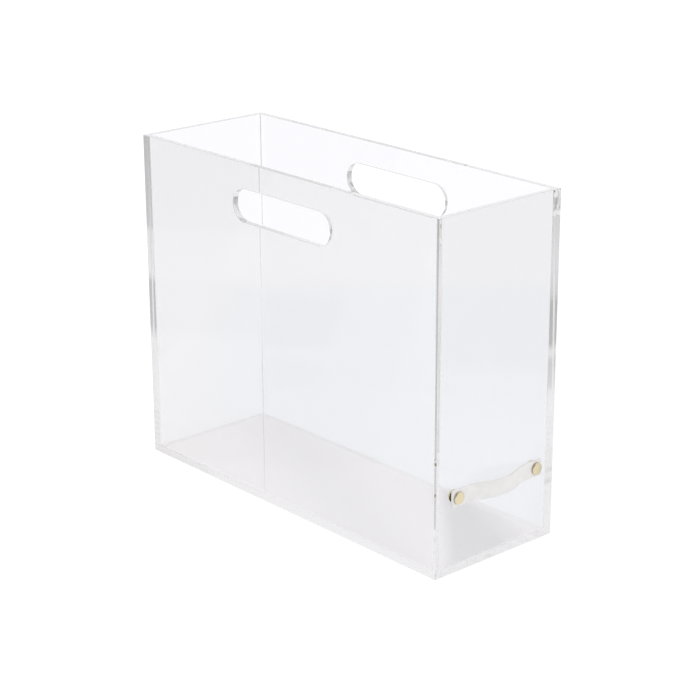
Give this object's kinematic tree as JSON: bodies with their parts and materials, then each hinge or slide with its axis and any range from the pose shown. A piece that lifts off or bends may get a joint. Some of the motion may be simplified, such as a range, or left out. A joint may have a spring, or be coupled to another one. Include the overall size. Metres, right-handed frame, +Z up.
{
  "type": "magazine file holder",
  "caption": "Open-topped clear acrylic file bin with a hand slot in each long wall and a leather pull held to one end wall by brass binding posts.",
  "frame": {"origin": "centre of the box's underside", "axes": "+X along the length towards the end with the leather pull, +Y across the width from the front long wall to the rear one, +Z up"},
  "size_m": [0.3264, 0.1142, 0.254],
  "materials": {
    "clear_acrylic": "polished",
    "white_leather": "smooth grain",
    "polished_brass": "polished"
  },
  "bodies": {
    "root": {"floor_plate": "clear_acrylic", "front_panel": "clear_acrylic", "rear_panel": "clear_acrylic", "pull_end_panel": "clear_acrylic", "plain_end_panel": "clear_acrylic", "pull_strap": "white_leather", "front_post_barrel": "polished_brass", "rear_post_barrel": "polished_brass", "front_post_screw": "polished_brass", "rear_post_screw": "polished_brass"}
  },
  "joints": []
}
